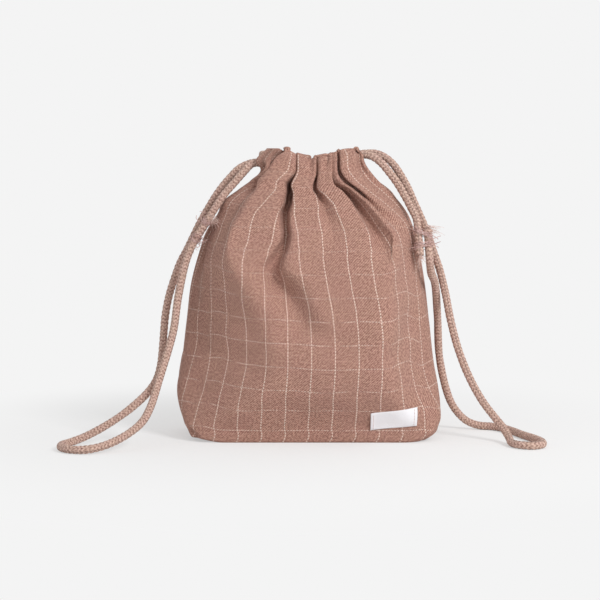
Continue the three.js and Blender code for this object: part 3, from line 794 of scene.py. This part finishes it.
# %% [markdown]
# ## Casing, base and flat cloth
# Above the wall the cloth turns over into the casing that holds the cords: up on the outside, over the top
# edge, and down again on the inside. Its folds can be no deeper than the cords behind them allow, and small
# puckers lie between them. Below the wall each half of the base runs in to a seam under the middle, and the
# boxed corners lift off the ground.

# %% Casing
hem_height = 10.4
cord_front = 10.3
hem_rows = 15
lip_lean = 3.4
lip_half_thickness, lip_rise = 0.7, 0.5
inner_side = -3.9


def hem(last_row, s, dip, puckers, draw_out):
    """The casing above a wall: its outer side, the turn over the top and its inner side."""
    _, outline, along, deep = last_row
    x, y, way_x, way_y = on_outline(outline, along)
    foot = mouth_height - dip(x)
    room = np.maximum(-y - cord_front, 2.0)
    held = room * np.tanh(deep / room)
    rows = []
    for h in np.linspace(0, 1, hem_rows)[1:]:
        gather = deep + (held - deep) * smoothstep(0, 0.5, h)
        gather = gather + puckers(s, h) + lip_lean * smoothstep(0.55, 1, h) ** 2
        row_x, row_y = draw_out(x - way_y * gather, y + way_x * gather, s, h)
        rows.append(np.stack([row_x, row_y, foot + hem_height * h - 0.5 * puckers(s, 1.0) * h], -1))
    top = rows[-1]
    inner = np.stack([top[:, 0] * 0.8, np.full(len(s), inner_side), top[:, 2]], -1)
    for turn in (0.25, 0.5, 0.75, 1.0):
        over = top.copy()
        over[:, 0] += (inner[:, 0] - top[:, 0]) * 0.12 * turn
        over[:, 1] += lip_half_thickness * (1 - math.cos(math.pi * turn))
        over[:, 2] += lip_rise * math.sin(math.pi * turn)
        rows.append(over)
    turned = rows[-1]
    for h in np.linspace(0, 0.9, 9)[1:]:
        row = turned + (inner - turned) * smoothstep(0, 0.5, h)
        row[:, 2] = turned[:, 2] - hem_height * h
        rows.append(row)
    return np.array(rows)


# %% Base and corners
base_lift, seam_lift = 0.15, 0.6
left_corner_lift, right_corner_lift = 2.4, 1.0


def half_base(edge, lift=base_lift, count=9):
    """Half of the base, from the seam under the middle out to the foot of a wall."""
    rows = np.repeat(edge[None], count - 1, axis=0)
    share = np.linspace(0, 1, count)[:-1, None]
    rows[:, :, 1] *= share
    rows[:, :, 2] = lift + seam_lift * (1 - share)
    return rows


def corner_lift(grid):
    """The boxed corners don't touch the ground: the cloth curves up to their seams."""
    left, right = smoothstep(46, 64, -grid[..., 0]), smoothstep(50, 66, grid[..., 0])
    return (left_corner_lift * left + right_corner_lift * right) * (1 - smoothstep(0, 14, grid[..., 2]))


def flat_places(grid, s, foot_row):
    """Where each point lies on the flat cloth, with the way up counted from the foot of the wall."""
    up = np.cumsum(np.linalg.norm(np.diff(grid, axis=0), axis=2), axis=0)
    up = np.concatenate([np.zeros((1, len(s))), up])
    return np.stack(np.broadcast_arrays(s[None], up - up[foot_row]), -1)


# %% [markdown]
# ## Front and back
# Both walls are made by the same functions with their own folds. The back's mouth hangs a little lower, so
# that from the front only the front edge shows. A soft drag fold runs down from the deepest fold, and
# short creases run into the boxed corners. The front casing's left end is drawn out into a sleeve round the
# cords. The back panel moves with the pouch; the front panel is tied to no body.

# %% Mouth, creases and puckers
mouth_middle = 1.5
# place on the cloth, half width and depth
small_puckers = [(5.0, 1.7, 2.2), (29.0, 1.5, 2.0), (35.5, 1.4, 1.6)]


def sag(x, width):
    """A mouth hangs from its two ends: 1 in its middle, 0 at its ends."""
    return np.cos(np.clip((x - mouth_middle) / width, -0.5, 0.5) * math.pi) ** 2


def front_dip(x):
    return 4.6 * sag(x, 44)


def back_dip(x):
    return 1.0 + 5.6 * sag(x, 48)


def front_creases(s, z):
    drag = drag_fold(s, z, (-24, 98), (2, 58), 1.5, 6.0)
    left_ear = drag_fold(s, z, (-71, 6.5), (-58, -2), 1.8, 1.3)
    right_ear = drag_fold(s, z, (70, 5), (60, -2), 1.2, 1.2)
    return swells(s, z, 3) + drag + (left_ear + right_ear)


def back_creases(s, z):
    return swells(s, z, 11)


def front_puckers(s, h):
    dents = [depth * np.exp(-((s - at) / width) ** 2) for at, width, depth in small_puckers]
    return smoothstep(0.1, 0.8, h) * sum(dents)


def back_puckers(s, h):
    return 0.8 * smoothstep(0.1, 0.9, h) * (0.5 - 0.5 * np.cos(2 * math.pi * s / 6.2))


hang = [round(float(dip(mouth_middle)), 1) for dip in (front_dip, back_dip)]
print("the lips hang in the middle by, mm:", hang)

# %% Ends of the casings
sleeve_shares = [0, 0.15, 0.34, 0.6, 1]
sleeve_start, sleeve_front, sleeve_belly = 57.0, -11.6, 4.0
fold_shift = 6.4


def plain_ends(x, y, s, h):
    """Both ends of a casing stand out a little round the cords."""
    left, right = smoothstep(66, 92, -s), smoothstep(80, 93, s)
    reach = np.interp(h, sleeve_shares, [-0.5, -5.0, -5.4, -3.0, 0.2])
    end_x = x + left * reach - 2.2 * right * smoothstep(0, 0.35, h)
    end_y = y - 1.2 * (left + right) * smoothstep(0, 0.4, h)
    return end_x, end_y


def drawn_sleeve(x, y, s, h):
    """The front casing's left end is drawn out into a sleeve; a crease parts it from the fold beside it."""
    x, y = np.where(s > 0, plain_ends(x, y, s, h), (x, y))
    rim = np.interp(h, sleeve_shares, [-24.0, -29.8, -30.4, -28.2, -23.4])
    crease = np.interp(h, [0, 0.35, 0.75, 1], [-20.0, -18.4, -16.2, -13.8])
    share = np.clip((-s - sleeve_start) / (half_cloth - sleeve_start), 0, 1)
    sleeve_x = crease + (rim - crease) * share
    sleeve_y = sleeve_front - sleeve_belly * np.sin(math.pi * share ** 0.8)
    drawn = smoothstep(54, 61, -s) * smoothstep(0, 0.2, h)
    beside = x + fold_shift * smoothstep(0.2, 1, h) * smoothstep(34, 52, -s)
    return beside + (sleeve_x - beside) * drawn, y + (sleeve_y - y) * drawn


# %% Sheets of cloth
cloth_thickness = 0.9
columns = np.linspace(-half_cloth, half_cloth, 265)
heights = np.linspace(0, mouth_height, 127)
forwards, backwards = np.ones(3), np.array([1, -1, 1])


def thicken(piece, thickness):
    """Gives a sheet its thickness, inwards, and keeps only the finished mesh."""
    solid = piece.modifiers.new("thickness", "SOLIDIFY")
    solid.thickness = thickness / 1000
    solid.offset = -1
    piece.data = bpy.data.meshes.new_from_object(piece.evaluated_get(bpy.context.evaluated_depsgraph_get()))
    piece.modifiers.clear()


def sheet(name, grid, s, foot_row, facing, finish, thickness):
    """A sheet of cloth through a grid of points, and its length when it lies flat."""
    faces = grid_faces(*grid.shape[:2])
    if facing[1] < 0:
        faces = faces[:, ::-1]
    flat = flat_places(grid, s, foot_row)
    piece = make_piece(name, (grid * facing).reshape(-1, 3), faces, finish, flat.reshape(-1, 2))
    thicken(piece, thickness)
    length = float(flat[-1, :, 1].mean() - flat[0, :, 1].mean())
    print(name, "flat cloth, mm:", 2 * half_cloth, "x", round(length))
    return piece, length


def panel(name, folds, form, dip, creases, puckers, draw_out, facing):
    """One outer panel with its half of the base and its casing."""
    standing, rows = wall(folds, form, heights, columns, dip, creases)
    foot = half_base(standing[0])
    grid = np.concatenate([foot, standing, hem(rows[-1], columns, dip, puckers, draw_out)])
    from_bend = np.abs(np.arange(len(grid)) - len(foot) - len(standing))
    near_bend = (1 - smoothstep(4, 9, from_bend))[:, None, None]
    grid = grid + near_bend * (soften(grid, 2.4, 0) - grid)
    grid[..., 2] += corner_lift(grid)
    piece, length = sheet(name, grid, columns, len(foot), facing, cloth_finish, cloth_thickness)
    return piece, grid, rows, len(foot), length


# %% Front and back panels
front_panel, front_grid, front_rows, foot_rows, front_length = panel(
    "front_panel", front_folds, outline_at, front_dip, front_creases, front_puckers, drawn_sleeve, forwards)
back_panel, back_grid, back_rows, _, back_length = panel(
    "back_panel", back_folds, oval_at, back_dip, back_creases, back_puckers, plain_ends, backwards)
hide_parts("outer_front_panel", "front_casing")
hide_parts("outer_back_panel", "back_casing")
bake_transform(front_panel)
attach(back_panel, "pouch")
for piece, length in [(front_panel, front_length), (back_panel, back_length)]:
    length / 1000

# %% [markdown]
# ## Lining
# The lining hangs inside the outer cloth in softer folds: at every place it lies behind the deepest layer
# of the outer cloth there. It ends under the casing. It shows only through the mouth and the side slits.

# %% Lining cloth
lining_gap, waist_gap = 2.8, 6.0
waist_height, waist_width = 111.0, 9.0
near_reach = 8.0
lining_thickness, lining_lift = 0.5, 2.2
lining_columns = np.linspace(-half_cloth, half_cloth, 141)


def behind(rows, dip):
    """The wall of the lining behind the rows of an outer wall."""
    grid = []
    for z, outline, along, deep in rows:
        places = (lining_columns + half_cloth) / (2 * half_cloth) * outline[2][-1]
        near = np.abs(along[None] - places[:, None]) < near_reach
        deepest = np.where(near, deep[None], -2.0).max(1)
        room = lining_gap + waist_gap * math.exp(-((z - waist_height) / waist_width) ** 2)
        grid.append(inside(outline, places, soften(deepest, 1.5, 0) + room, z, dip))
    return np.array(grid)


for name, rows, dip, facing in [
    ("lining_front", front_rows, front_dip, forwards),
    ("lining_back", back_rows, back_dip, backwards),
]:
    standing = behind(rows[3:-3:2], dip)
    grid = np.concatenate([half_base(standing[0], lining_lift), standing])
    piece, length = sheet(f"{name}_cloth", grid, lining_columns, 0, facing, lining_finish, lining_thickness)
    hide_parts(name)
    if name == "lining_front":
        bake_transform(piece)
    else:
        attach(piece, "pouch")
    length / 1000

# %% [markdown]
# ## Cords inside the casing
# Between the two sides each cord runs through the front and the back casing and turns round at the far
# end. The front runs go with the lip, the back runs with the pouch, and the turns are tied to no body.

# %% Cord runs and turns
run_reach, run_depth = 24.3, 7.0
turn_reach = 25.6
for side, lift, far_end in [("left", 149.8, 1), ("right", 154.4, -1)]:
    across = np.linspace(-run_reach, run_reach, 40)
    for where, y, body in [("front", -run_depth, "front_lip"), ("back", run_depth, "pouch")]:
        line = np.stack([across, np.full_like(across, y), lift - front_dip(across)], 1)
        run = knitted(f"{side}_cord_{where}_knit", evenly(line, stitch_step))
        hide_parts(f"{side}_cord_{where}_run")
        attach(run, body)
    half_turn = [(run_reach, run_depth), (24.9, 6.6), (25.4, 3.6)]
    bend = [(x, -y) for x, y in half_turn] + [(turn_reach, 0.0)] + half_turn[::-1]
    route = [(far_end * x, y, lift) for x, y in bend]
    turn = knitted(f"{side}_cord_turn_knit", through(route, stitch_step))
    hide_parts(f"{side}_cord_turn")
    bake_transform(turn)
    print(side, "cord in the casing, mm:", round(4 * run_reach + along_line(np.array(bend))[-1]))

# %% [markdown]
# ## Threads
# Seams, lashings and frayed ends are all thread: thin round strands, many in one mesh. A stitch is a short
# length of such a strand, cut from the line that the needle follows.


# %% Thread helpers
def thread(name, lines, radius, finish, sides=6):
    """One mesh of round strands along lines; radius is a pair, for the start and the end of a strand."""
    points, faces = [], []
    for line in lines:
        faces.extend(tube_faces(len(line), sides, len(points)))
        points.extend(tube(line, np.linspace(*radius, len(line))[:, None], sides))
    piece = make_piece(name, points, faces, finish)
    return piece


def stitches(line, length, gap):
    """Cuts a line into stitches."""
    starts = np.arange(0, along_line(line)[-1] - length, length + gap)
    return [places_on(line, np.linspace(start, start + length, 5)) for start in starts]


def outwards(grid):
    """The direction out of a wall at each of its points."""
    out = np.cross(np.gradient(grid, axis=1), np.gradient(grid, axis=0))
    return out / np.linalg.norm(out, axis=2)[..., None]


# %% Seams
stitch_length, stitch_gap = 2.2, 0.9
stitch_radius = (0.18, 0.18)
stitch_sink = 0.06
stitch_row = foot_rows + len(heights) + 1
side_inset, side_foot_row = 1.6, 8
under_height = 1.9
corner_place, corner_reach = 52.0, 14
base_reach = 46


def seam(name, line, node, body):
    """A row of stitches along a line, in place of a node."""
    cuts = stitches(line, stitch_length, stitch_gap)
    row = thread(name, cuts, stitch_radius, sewing_finish)
    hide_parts(node)
    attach(row, body)
    print(name, "has", len(cuts), "stitches")


for where, grid, facing, body in [
    ("front", front_grid, forwards, "front_lip"), ("back", back_grid, backwards, "pouch"),
]:
    sunk = grid[stitch_row] - stitch_sink * outwards(grid)[stitch_row]
    seam(f"{where}_casing_stitches", sunk * facing, f"{where}_casing_stitch", body)
seam_top = int(np.searchsorted(heights, slit_foot))
for side, column, inwards in [("left", 0, 1), ("right", -1, -1)]:
    edge = front_grid[foot_rows + side_foot_row:foot_rows + seam_top, column]
    seam(f"{side}_side_stitches", edge + (inwards * side_inset, 0, 0), f"{side}_side_seam", "pouch")
    depths = np.linspace(-corner_reach, corner_reach, 30)
    corner = np.array([(-inwards * corner_place, y, under_height) for y in depths])
    seam(f"{side}_corner_stitches", corner, f"{side}_corner_seam", "pouch")
middle = np.array([(x, 0, under_height) for x in np.linspace(-base_reach, base_reach, 90)])
seam("base_stitches", middle, "base_seam", "pouch")

# %% [markdown]
# ## Label
# A white ribbon is sewn on near the lower right corner by its two folded ends. It is left bare. It is cut
# out of the front wall's own shape and lifted off it, so it bends round the corner with the cloth.

# %% Label
label_left, label_width = 32.6, 24.6
label_foot, label_height, label_slope = 7.2, 9.9, 2.4
label_columns, label_rows = 41, 17
label_thickness, label_gap = 0.45, 0.55
end_rise, end_fold, belly = 0.4, 1.6, 0.25
label_stitch, label_stitch_gap = 1.1, 0.5
front_wall = front_grid[foot_rows:foot_rows + len(heights)]
wall_out = outwards(front_wall)


def on_label(across, up, out):
    """A point on the label, lifted off the wall; across and up go from 0 to 1."""
    x = label_left + label_width * across
    z = label_foot + label_height * up + label_slope * across
    row = np.interp(z, heights, np.arange(len(heights)))
    low, share = int(row), row % 1
    places = front_wall[low] + (front_wall[low + 1] - front_wall[low]) * share
    ways = wall_out[low] + (wall_out[low + 1] - wall_out[low]) * share
    at = np.array([np.interp(x, places[:, 0], places[:, axis]) for axis in range(3)])
    way = np.array([np.interp(x, places[:, 0], ways[:, axis]) for axis in range(3)])
    return at + out * way / np.linalg.norm(way)


def label_lift(across, up):
    """The ribbon's ends are folded under, so they stand up, and its middle bellies a little."""
    from_end = min(across, 1 - across) * label_width
    return label_gap + end_rise * math.exp(-((from_end / end_fold) ** 2)) + belly * math.sin(math.pi * up)


spots = [(a, u) for u in np.linspace(0, 1, label_rows) for a in np.linspace(0, 1, label_columns)]
ribbon_points = [on_label(a, u, label_lift(a, u)) for a, u in spots]
ribbon_flat = [(label_width * a, label_height * u) for a, u in spots]
ribbon_faces = grid_faces(label_rows, label_columns)
label = make_piece("label_ribbon", ribbon_points, ribbon_faces, label_finish, ribbon_flat)
thicken(label, label_thickness)
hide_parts("woven_label")
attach(label, "pouch")
for side, across in [("left", 0.06), ("right", 0.94)]:
    ups = np.linspace(0.05, 0.95, 40)
    line = np.array([on_label(across, up, label_lift(across, up) + 0.03) for up in ups])
    cuts = stitches(line, label_stitch, label_stitch_gap)
    row = thread(f"label_{side}_stitches", cuts, (0.12, 0.12), thread_finish)
    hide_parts(f"label_stitch_{side}")
    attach(row, "pouch")
print("label, mm:", label_width, "x", label_height)

# %% [markdown]
# ## Lashings and frayed ends
# Where a strand's end lies against the other strand, pale thread is wound round both. Beyond it the cord's
# own fibres stand out in a tuft. One even helix would look made by a machine, so each lashing is a few
# short windings around two round cords, each tilted and slack in its own way, with ends that stand out.

# %% Lashings
lashing_heights = {"left": (119.0, 109.6), "right": (112.4, 106.0)}
windings, lashing_turns, lashing_pitch = 4, 2, 1.3
lashing_radius = (0.17, 0.17)
loose_end, loose_reach = 0.3, 4.0


def passing(line, height):
    """Where a line passes a height for the last time, and its direction there."""
    crossings = np.nonzero(np.diff(np.sign(line[:, 2] - height)))[0]
    k = crossings[-1]
    way = line[k + 1] - line[k]
    return line[k], way / np.linalg.norm(way)


def winding(a, b, axis, turns, pitch, rng):
    """A thread wound loosely around two cords whose middles are at a and b; its ends stand out."""
    spread = b - a
    half = np.linalg.norm(spread) / 2
    spread = spread / (2 * half)
    axis = axis + spread * rng.normal(0, 0.35)
    axis = axis - spread * np.dot(axis, spread)
    axis /= np.linalg.norm(axis)
    across = np.cross(axis, spread)
    t = np.arange(0, turns, 1 / 36)
    angle = 2 * math.pi * t + rng.uniform(0, 6)
    wobble = np.interp(t, np.linspace(0, turns, 6 * turns), rng.normal(0, 0.3, 6 * turns))
    loose = loose_reach * (smoothstep(loose_end, 0, t) + smoothstep(turns - loose_end, turns, t)) ** 2
    radius = cord_diameter / 2 + 0.3 + 0.6 * np.abs(wobble) + loose
    out = np.tanh(4 * np.cos(angle)) * half + radius * np.cos(angle)
    tilt = rng.uniform(-0.45, 0.45) * out
    points = (a + b) / 2 + np.outer(out, spread) + np.outer(radius * np.sin(angle), across)
    return evenly(points + np.outer(pitch * (t - turns / 2) + wobble + tilt, axis), 0.4)


rng = np.random.default_rng(7)
bound = {"left": [], "right": []}
for side, (high, low) in lashing_heights.items():
    long_line, short_line = strands[side]["long"][1], strands[side]["short"][1]
    for word, height in [("high", high), ("low", low)]:
        a, long_way = passing(long_line, height)
        b, short_way = passing(short_line, height)
        axis = long_way - short_way
        wound = [winding(a, b, axis, lashing_turns, lashing_pitch, rng) for _ in range(windings)]
        band = thread(f"{side}_{word}_lashing_thread", wound, lashing_radius, thread_finish)
        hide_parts(f"{side}_{word}_lashing")
        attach(band, "pouch")
        bound[side].append(band)
        print(side, word, "lashing around cords, mm apart:", round(float(np.linalg.norm(b - a)), 1))

# %% Frayed ends
tuft_ways = {
    ("left", "long"): (0.75, -0.2, -0.5), ("left", "short"): (-0.3, -0.1, -1.0),
    ("right", "long"): (1.0, -0.2, -0.15), ("right", "short"): (0.15, 0.0, -1.0),
}
fibre_count, fibre_reach = 30, (3.0, 6.5)
fibre_radius, root_depth = (0.17, 0.06), 0.9
for (side, word), lean in tuft_ways.items():
    cord, line = strands[side][word]
    way = line[-1] - line[-6]
    way /= np.linalg.norm(way)
    lean = np.array(lean) / np.linalg.norm(lean)
    fibres = []
    for _ in range(fibre_count):
        root = line[-1] - root_depth * way + rng.normal(0, 0.7, 3)
        reach = rng.uniform(*fibre_reach)
        stray, curl = rng.normal(0, 0.32, 3), rng.normal(0, 1.0, 3)
        t = np.linspace(0, 1, 8)[:, None]
        bent = way * (1 - t) + lean * t + stray * t
        fibres.append(root + bent * t * reach + curl * t * t * (1 - 0.3 * t))
    tuft = thread(f"{side}_{word}_tuft", fibres, fibre_radius, fibre_finish, sides=5)
    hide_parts(f"{side}_{word}_frayed_end")
    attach(tuft, "pouch")
    length = along_line(line)[-1]
    line[0] / 1000
    length / 1000
    line[::4] / 1000
    print(side, word, "strand, mm:", round(length))

# %% [markdown]
# ## Floor and light
# The photograph has a flat pale background. A floor that is only white would show a horizon, so away from
# the pouch it turns to an even glow that the camera alone sees. Near the pouch half of it is an ordinary
# matt floor, which keeps the shadow. A large soft lamp from the right gives the folds their shade.

# %% Floor
background = (244, 244, 244)
floor_reach = 3000
glow_from, glow_to = 0.1, 0.26


def studio_floor(name):
    material = bpy.data.materials.new(name)
    material.use_nodes = True
    empty = Socket(material.node_tree)
    shader = material.node_tree.nodes["Principled BSDF"]
    shader.inputs["Base Color"].default_value = colour(*background)
    shader.inputs["Roughness"].default_value = 1.0
    shader.inputs["Specular IOR Level"].default_value = 0.0
    place = empty.node("ShaderNodeTexCoord", {}, {}, "Object")
    away = place.node("ShaderNodeVectorMath", {"operation": "LENGTH"}, {0: place}, "Value")
    seen = empty.node("ShaderNodeLightPath", {}, {}, "Is Camera Ray")
    even = away.rise(glow_from, glow_to) * 0.5 + 0.5
    glow = empty.node("ShaderNodeEmission", {}, {"Color": colour(*background)})
    mixed = empty.node("ShaderNodeMixShader", {}, {0: even * seen, 2: glow})
    material.node_tree.links.new(shader.outputs[0], mixed.plug.node.inputs[1])
    material.node_tree.links.new(mixed.plug, material.node_tree.nodes["Material Output"].inputs["Surface"])
    return material


floor_corners = [(floor_reach * x, floor_reach * y, 0) for x, y in [(-1, -1), (1, -1), (1, 1), (-1, 1)]]
floor = make_piece("floor", floor_corners, [(0, 1, 2, 3)], studio_floor("studio_floor"))
print("floor, m:", 2 * floor_reach / 1000)

# %% Lamps
world = bpy.data.worlds.new("studio")
bpy.context.scene.world = world
world.use_nodes = True
room = Socket(world.node_tree)
eye = room.node("ShaderNodeLightPath", {}, {}, "Is Camera Ray")
world_light = 0.72
sky = world.node_tree.nodes["Background"]
sky.inputs["Color"].default_value = colour(*background)
strength = eye * (1 - world_light) + world_light
world.node_tree.links.new(strength.plug, sky.inputs["Strength"])


def lamp(name, place, aim, size, power):
    """A round soft lamp that shines from a place towards another, in metres."""
    data = bpy.data.lights.new(name, "AREA")
    data.shape = "DISK"
    data.size = size
    data.energy = power
    made = bpy.data.objects.new(name, data)
    made.location = place
    away = np.subtract(aim, place)
    fall = math.atan2(np.hypot(*away[:2]), -away[2])
    made.rotation_euler = (fall, 0, math.atan2(away[1], away[0]) - math.pi / 2)
    bpy.context.scene.collection.objects.link(made)
    print(name, "lamp, W:", power)


lamp("key", place=(0.7, -0.85, 0.8), aim=(0, 0, 0.08), size=0.4, power=9.5)
bpy.context.scene.view_settings.view_transform = "Standard"
